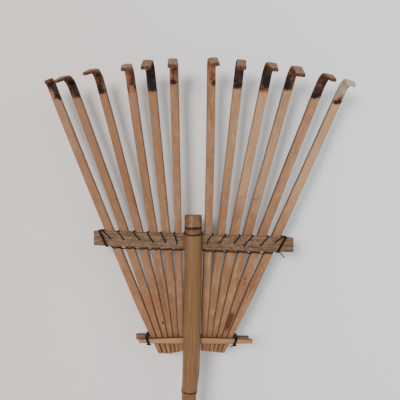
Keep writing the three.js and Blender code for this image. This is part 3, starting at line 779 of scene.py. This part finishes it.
def make_stick(name, stick, front, thick, seed):
    """A whittled stick: rounded, flattened, with facets left by the knife."""
    rings = []
    fields = {}
    for step in range(STICK_STEPS + 1):
        x = lerp(stick["left"], stick["right"], step / STICK_STEPS)
        end_gap = min(x - stick["left"], stick["right"] - x)
        ease = 1 - 0.1 * (1 - smooth(0, 1.4, end_gap))
        ring = []
        for angle in angles(STICK_SIDES):
            c, s = math.cos(angle), math.sin(angle)
            facet = 0.22 * rough(x * 0.025, round(angle * 1.6) * 1.7, seed)
            fibre = 0.08 * rough(x * 0.2, angle * 5, seed + 3)
            half_thick = (thick / 2 - 0.2 + facet + fibre) * ease
            half_height = (stick_half_height(stick, x) - 0.2 + facet + fibre) * ease
            y = front + thick / 2 + half_thick * squarish(c)
            z = stick_middle(stick, x) + half_height * squarish(s)
            skew = 0.0
            if end_gap < 1.0:
                skew = 0.6 * rough(y * 0.3, z * 0.3, seed + 8)
            ring.append(Vector((x + skew, y, z)))
            # dirt is painted shade on the upper and lower faces, stronger on the upper one.
            note(fields, grain=in_metres(angle * 4 + seed * 30, x, s * 4),
                 dirt=smooth(0.62, 0.95, abs(s)) * (0.8 if s > 0 else 0.45))
        rings.append(ring)
    return loft(name, rings, fields, sharp=38)


# ---- Handle ----

def ring_tilt(k, angle):
    return -1.1 * math.cos(angle) if k == SLANTED_RING else 0.5 * math.sin(angle + k * 2.1)


def pole_radius(z, angle):
    radius = interpolate(POLE_LINE, z, 2)
    for k, (node, swell) in enumerate(POLE_NODES):
        gap = z - node
        if abs(gap) < 14:
            tilt = ring_tilt(k, angle)
            ridge = math.exp(-((gap - 1.6 - tilt) / 1.5) ** 2)
            scar = math.exp(-((gap + 1.3 - tilt) / 0.75) ** 2)
            groove = math.exp(-((gap - 0.1 - tilt) / 0.6) ** 2)
            radius += swell * (0.75 * ridge + 0.9 * scar) - 0.4 * groove
    radius += 0.12 * rough(z * 0.012, math.cos(angle) * 1.4, math.sin(angle) * 1.4)
    radius += 0.03 * rough(z * 0.3, math.cos(angle) * 9, math.sin(angle) * 9)
    return radius - 0.12


def ring_mark(z, angle):
    """Dark line in the groove of each node, broken and uneven."""
    mark = 0.0
    for k, (node, _) in enumerate(POLE_NODES):
        gap = z - node - ring_tilt(k, angle) - 0.1
        breaks = 0.5
        if k == TOP_RING:
            gap += 1.8 * rough_round(angle, 5, 7)
            breaks = 1.1
        broken = 0.9 + breaks * rough_round(angle, 3.4, k * 5.0)
        mark = max(mark, broken * math.exp(-(gap / RING_LINES[k]) ** 2))
    return mark


def age_at(z, angle):
    """How dark the skin has gone: bands at the top node, blotches above it, and the rim."""
    amount = 0.0
    for height, full, end, strength in TOP_BANDS:
        amount += strength * (1 - smooth(full, end, abs(z - height)))
    amount += 0.5 * smooth(*TOP_BLOTCHES, z) * smooth(-0.15, 0.35, rough(angle * 1.4, z * 0.12, 3))
    amount += 0.75 * smooth(POLE_TOP - 4, POLE_TOP - 0.5, z)
    return clamp(amount * (0.8 + 1.1 * rough_round(angle, 3, z * 0.25)))


def pole_heights():
    heights = []
    z = 0.0
    while z < POLE_TOP - 1.8:
        heights.append(z)
        near = min(abs(z - node) for node, _ in POLE_NODES)
        z += 0.4 if near < 5 else 1.2 if near < 19 else 5.0
    return heights


def make_pole():
    rings = []
    fields = {}

    def add(z, offset, radius=None, inside=0.0):
        ring = []
        x = interpolate(POLE_LINE, z, 1)
        for angle in angles(POLE_SIDES):
            r = radius if radius else pole_radius(z, angle) - offset
            ring.append(Vector((x + r * math.cos(angle), r * math.sin(angle), z)))
            note(fields, grain=in_metres(r * math.cos(angle), z, r * math.sin(angle)),
                 ring=0.0 if inside else ring_mark(z, angle), inside=inside, age=age_at(z, angle))
        rings.append(ring)

    add(0.0, 0.8)
    for z in pole_heights():
        add(max(z, 0.35), 0.0 if z > 0.5 else 0.25)
    add(POLE_TOP - 1.6, 0.05)
    add(POLE_TOP - 0.8, 0.35)
    add(POLE_TOP - 0.3, 0.9, inside=0.3)
    add(POLE_TOP - 0.05, 1.6, inside=1.0)
    add(POLE_TOP - 0.05, 0.0, POLE_BORE_RADIUS + 0.5, inside=1.0)
    add(POLE_TOP - 0.6, 0.0, POLE_BORE_RADIUS, inside=1.0)
    for step in range(1, 9):
        depth = 0.6 + step * (POLE_BORE_DEPTH - 1.2) / 8
        add(POLE_TOP - depth, 0.0, POLE_BORE_RADIUS - 0.02 * step, inside=1.0)
    add(POLE_TOP - POLE_BORE_DEPTH, 0.0, POLE_BORE_RADIUS - 2, inside=1.0)
    pole = loft("bamboo_handle", rings, fields, sharp=45)
    cut_through(pole, "mortise", mortise_box())
    cut_through(pole, "stick_hole", stick_socket())
    return pole


def mortise_box():
    h = SLAT_HEIGHT / 2 + GAP
    y0, y1 = SLAT_FRONT - GAP, SLAT_FRONT + SLAT_THICK + GAP
    corners = [(y0, -h), (y1, -h), (y1, h), (y0, h)]
    return [[Vector((x, y, slat_middle(x) + side)) for y, side in corners] for x in (-30, 30)]


def stick_socket():
    rings = []
    for x in (-30, 30):
        ring = []
        for angle in angles(SOCKET_SIDES):
            c, s = math.cos(angle), math.sin(angle)
            y = SLAT_FRONT + SLAT_THICK / 2 + (SLAT_THICK / 2 + 0.4) * squarish(c)
            z = stick_middle(FRONT_STICK, 0) + (FRONT_STICK["middle"] + 0.4) * squarish(s)
            ring.append(Vector((x, y, z)))
        rings.append(ring)
    return rings


def cut_through(piece, name, rings):
    tool = loft(name, rings, {})
    modifier = piece.modifiers.new(name, "BOOLEAN")
    modifier.operation = "DIFFERENCE"
    modifier.solver = "EXACT"
    modifier.object = tool
    with bpy.context.temp_override(object=piece, active_object=piece):
        bpy.ops.object.modifier_apply(modifier=name)
    bpy.data.objects.remove(tool, do_unlink=True)


# ---- Wires ----

def catmull(points, per_step):
    """A smooth curve through the points, which it keeps."""
    smooth_line = []
    padded = [points[0] * 2 - points[1]] + points + [points[-1] * 2 - points[-2]]
    for k in range(1, len(padded) - 2):
        p0, p1, p2, p3 = padded[k - 1:k + 3]
        for i in range(per_step):
            t = i / per_step
            smooth_line.append(0.5 * (2 * p1 + (p2 - p0) * t + (2 * p0 - 5 * p1 + 4 * p2 - p3) * t * t
                                      + (3 * p1 - p0 - 3 * p2 + p3) * t * t * t))
    smooth_line.append(points[-1])
    return smooth_line


def tube(name, triples):
    """A round wire along given points."""
    points = [Vector(p) for p in triples]
    straight = [a.lerp(b, i / STRAND_STEPS) for a, b in zip(points, points[1:]) for i in range(STRAND_STEPS)]
    straight.append(points[-1])
    line = [s.lerp(c, 1 - STRAIGHTNESS) for s, c in zip(straight, catmull(points, STRAND_STEPS))]
    rings = []
    heading = (line[1] - line[0]).normalized()
    side = heading.orthogonal().normalized()
    for k, point in enumerate(line):
        ahead = line[min(k + 1, len(line) - 1)] - line[max(k - 1, 0)]
        if ahead.length > 1e-6:
            heading = ahead.normalized()
        side = (side - heading * side.dot(heading)).normalized()
        other = heading.cross(side)
        r = STRAND_RADIUS * (1 + 0.06 * rough(k * 0.37, len(line)))
        if k in (0, len(line) - 1):
            r *= 0.6
        rings.append([point + side * (r * math.cos(angle)) + other * (r * math.sin(angle))
                      for angle in angles(STRAND_SIDES)])
    return loft(name, rings, {}, sharp=60)


def wrap_points(box, crossings, step, turns):
    """Turns of wire round a pair of boards; crossings are on their upper and lower edges."""
    top_x, bottom_x = crossings
    r = WRAP_CORNER
    corners = [
        (top_x, box["front"], box["top"] - r), (top_x, box["front"] + r, box["top"]),
        (top_x, box["back"] - r, box["top"]), (top_x, box["back"], box["top"] - r),
        (bottom_x, box["back"], box["bottom"] + r), (bottom_x, box["back"] - r, box["bottom"]),
        (bottom_x, box["front"] + r, box["bottom"]), (bottom_x, box["front"], box["bottom"] + r),
    ]
    points = []
    for i in range(round(turns * len(corners))):
        x, y, z = corners[i % len(corners)]
        moved = x + step * i / len(corners) + 0.25 * rough(i * 1.3, turns)
        points.append((moved, y, z + box["tilt"] * moved))
    return points


def slat_wrap_box():
    reach = SLAT_HEIGHT / 2 + WIRE_LAY
    return {
        "front": SLAT_FRONT - WIRE_LAY, "back": BACK_FRONT + BACK_SLAT_THICK + WIRE_LAY,
        "top": SLAT_Z + reach, "bottom": SLAT_Z - reach, "tilt": SLAT_TILT,
    }


def stick_tie_box(x):
    def reach(stick, side):
        return stick_middle(stick, x) + side * stick_half_height(stick, x)
    return {
        "front": SLAT_FRONT - WIRE_LAY, "back": BACK_FRONT + BACK_STICK_THICK + WIRE_LAY,
        "top": max(reach(FRONT_STICK, 1), reach(BACK_STICK, 1)) + WIRE_LAY,
        "bottom": min(reach(FRONT_STICK, -1), reach(BACK_STICK, -1)) - WIRE_LAY, "tilt": 0,
    }


def cut_end(name, points):
    """Adds the named wire's loose end, bent out from its last point."""
    span, drop = LOOSE_ENDS[name]
    x, y, z = points[-1]
    return points + [(x + span * 0.4, y - 0.4, z - drop * 0.35), (x + span, y - 0.2, z - drop)]


def stitch_points(side):
    """Wire whipped over the slats' upper edges and through each tine, from the handle outwards."""
    order = OUTWARD[side]
    front = SLAT_FRONT - WIRE_LAY
    back = BACK_FRONT + BACK_SLAT_THICK + WIRE_LAY
    first_x, first_z = hole_place(TINES[order[0]])
    points = [(first_x - side * TAIL_SPAN, back, first_z - TAIL_DROPS[0])]
    for index in order:
        x, z = hole_place(TINES[index])
        rest = slat_top(x) + 2 * WIRE_RADIUS + GAP
        left, right = edges_at(index, rest)
        over = (left if side < 0 else right) + side * WIRE_REST
        top = slat_top(over)
        slope = (over - x) / (top - z)
        bow = STITCH_BOWS[index]
        points += [(x, back, z), (x, back - 1.6, z), (x, front + 1.6, z), (x + slope * 0.6, front, z + 0.6)]
        for share in (0.3, 0.6, 0.85):
            bulge = bow * math.sin(math.pi * share)
            points.append((lerp(x, over, share) - bulge, front - 0.15, lerp(z, top, share)))
        points += [(over - slope * 0.2, front + 0.1, top), (over, front + 1.0, top + WIRE_LAY)]
        points += [(over, back - 1.0, top + WIRE_LAY), (over, back, top - 0.6)]
    end_x, _, end_z = points[-1]
    points.append((end_x - side * TAIL_SPAN, back, end_z - TAIL_DROPS[1]))
    return points


def running_points(side):
    """Wire along the front slat's lower edge, towards the handle, in front of the tines."""
    start_x = RUN_STARTS[side]
    front = TINE_FRONT - WIRE_REST
    back = BACK_FRONT + BACK_SLAT_THICK + WIRE_REST
    before, at, after, between = RUN_DIPS

    def lower_edge(x):
        return slat_middle(x) - SLAT_HEIGHT / 2 - WIRE_REST

    crossings = [centre_x(TINES[k], lower_edge(TINES[k]["slat"])) for k in reversed(OUTWARD[side])]
    points = [(start_x, front, lower_edge(start_x))]
    for k, x in enumerate(crossings):
        wave = 0.9 * rough(k * 1.9, side * 3.3)
        points.append((x + side * 3.6, front - 0.2, lower_edge(x) - before + wave))
        points.append((x, front - 0.5, lower_edge(x) - at - wave))
        points.append((x - side * 3.6, front - 0.2, lower_edge(x) - after + 0.5 * wave))
        if k < len(crossings) - 1:
            points.append(((x + crossings[k + 1]) / 2, front + 0.6, lower_edge(x) - between + wave))
    leave = side * RUN_EXIT
    low = lower_edge(leave) - 1
    points += [(leave + side, front, low), (leave, front + 1, low), (leave, back - 1, low)]
    points += [(leave, back, low + 1), (leave, back, low + RUN_RISE)]
    return points


def band_points():
    """Wire round the front of the handle, its ends tucked in behind the back slat."""
    back = BACK_FRONT + BACK_SLAT_THICK + WIRE_LAY
    bend = BAND_RADIUS - 0.6

    def end(side):
        return [(side * BAND_RADIUS, TINE_FRONT, BAND_SIDE_Z), (side * BAND_RADIUS, back - 0.9, BAND_SIDE_Z),
                (side * bend, back, BAND_CORNER_Z), (side, back, BAND_END_Z)]

    points = end(-1)[::-1]
    for step in range(13):
        turn = step * math.pi / 12
        z = lerp(BAND_SIDE_Z, BAND_FRONT_Z, math.sin(turn))
        points.append((BAND_RADIUS * math.cos(math.pi + turn), BAND_RADIUS * math.sin(math.pi + turn), z))
    return points + end(1)


def wire_routes():
    """Every wire's points, by the name of its node."""
    sides = (("left", -1), ("right", 1))
    routes = {}
    for word, side in sides:
        route = wrap_points(slat_wrap_box(), END_WRAPS[word], side * WRAP_PITCH, END_WRAP_TURNS[word])
        routes[f"end_wrap_{word}"] = route
    for word, side in sides:
        tie = STICK_TIES[word]
        routes[f"stick_tie_{word}"] = wrap_points(stick_tie_box(tie[1]), tie, side * WRAP_PITCH, TIE_TURNS)
    for name in LOOSE_ENDS:
        routes[name] = cut_end(name, routes[name])
    routes |= {f"stitching_{word}": stitch_points(side) for word, side in sides}
    routes |= {f"running_wire_{word}": running_points(side) for word, side in sides}
    routes["handle_band"] = band_points()
    return routes


# ---- Stage, lights and camera ----

def stage_look(name, colour):
    g = Graph(name)
    for socket, value in (("Base Color", colour), ("Roughness", 0.95), ("Specular IOR Level", 0.1)):
        g.shader.inputs[socket].default_value = value
    return g


def wall_material():
    """Painted light: along X, a darker, warmer tint on the left going to a paler, cooler one on the right, on
    the wall's front only: from behind, it is clear.
    """
    g = stage_look("pale_wall", srgb(WALL_PAINTED_LIGHT_TINTS[0]))
    x = g.node("ShaderNodeSeparateXYZ", {0: g.node("ShaderNodeTexCoord").outputs["Object"]}).outputs["X"]
    g.feed(g.shader.inputs["Base Color"], g.mix(g.spread(x, *WALL_PAINTED_LIGHT_REACH), *WALL_PAINTED_LIGHT_TINTS))
    away = g.node("ShaderNodeNewGeometry").outputs["Backfacing"]
    clear = g.node("ShaderNodeBsdfTransparent").outputs[0]
    both = g.node("ShaderNodeMixShader", {0: away, 1: g.shader.outputs[0], 2: clear}).outputs[0]
    g.feed(g.tree.nodes["Material Output"].inputs[0], both)
    return g.material


def make_sheet(name, corners, material):
    mesh = bpy.data.meshes.new(name)
    mesh.from_pydata(corners, [], [(0, 1, 2, 3)])
    mesh.materials.append(material)
    sheet = bpy.data.objects.new(name, mesh)
    bpy.context.scene.collection.objects.link(sheet)
    return sheet


def make_stage():
    floor_look = stage_look("pale_floor", srgb((222, 220, 218))).material
    make_sheet("floor", [(-6, -6, 0), (6, -6, 0), (6, 6, 0), (-6, 6, 0)], floor_look)
    corners = [(-3, WALL_Y, 0), (3, WALL_Y, 0), (3, WALL_Y, 4), (-3, WALL_Y, 4)]
    make_sheet("wall", corners, wall_material()).visible_shadow = False


def area_light(name, place, size, power, colour):
    data = bpy.data.lights.new(name, "AREA")
    data.shape = "SQUARE"
    data.size = size
    data.energy = power
    data.color = colour
    light = bpy.data.objects.new(name, data)
    light.location = place
    light.rotation_euler = (Vector(LIGHT_AIM) - Vector(place)).to_track_quat("-Z", "Y").to_euler()
    bpy.context.scene.collection.objects.link(light)


def make_lights():
    world = bpy.data.worlds.new("studio")
    world.use_nodes = True
    sky = world.node_tree.nodes["Background"].inputs
    sky["Color"].default_value = (0.93, 0.96, 1.0, 1.0)
    sky["Strength"].default_value = 0.55
    bpy.context.scene.world = world
    area_light("key", (-1.1, -2.4, 1.9), 1.0, 64, (1.0, 0.955, 0.93))
    area_light("fill", (2.2, -1.5, 2.3), 1.8, 28, (0.88, 0.985, 1.0))
    area_light("back", (1.2, 2.6, 2.0), 1.6, 30, (1.0, 0.98, 0.96))


def make_camera():
    data = bpy.data.cameras.new("camera")
    data.sensor_width = 36
    data.lens = 36
    camera = bpy.data.objects.new("camera", data)
    camera.location = CAMERA_PLACE
    camera.rotation_euler = (math.radians(90), 0, 0)
    bpy.context.scene.collection.objects.link(camera)
    bpy.context.scene.camera = camera


# ---- The rake ----

def make_rake():
    split_bamboo = tine_material()
    for index in range(len(TINES)):
        settle(make_tine(index), f"tine_{index + 1:02d}", split_bamboo)
    settle(make_pole(), "handle", pole_material())
    board = board_material()
    front = make_slat("front_board", SLAT_LEFT, SLAT_RIGHT, SLAT_FRONT, SLAT_THICK, SLAT_HEIGHT, 1.0)
    settle(front, "front_slat", board)
    rear = make_slat("rear_board", SLAT_LEFT + BACK_SLAT_INSET, SLAT_RIGHT - BACK_SLAT_INSET, BACK_FRONT,
                     BACK_SLAT_THICK, BACK_SLAT_HEIGHT, 6.0)
    settle(rear, "back_slat", board)
    pale = stick_material("pale_stick", (118, 78, 42), (154, 112, 70), (182, 142, 98), (98, 60, 34))
    front = make_stick("front_stick_rod", FRONT_STICK, SLAT_FRONT, SLAT_THICK, 2.0)
    settle(front, "front_stick", pale)
    red = stick_material("red_stick", (82, 44, 26), (122, 74, 46), (150, 102, 70), (62, 30, 18))
    rear = make_stick("back_stick_rod", BACK_STICK, BACK_FRONT, BACK_STICK_THICK, 5.0)
    settle(rear, "back_stick", red)
    iron = wire_material()
    for node, route in wire_routes().items():
        settle(tube(f"{node}_strand", route), node, iron)


make_camera()
make_stage()
make_lights()
make_rake()
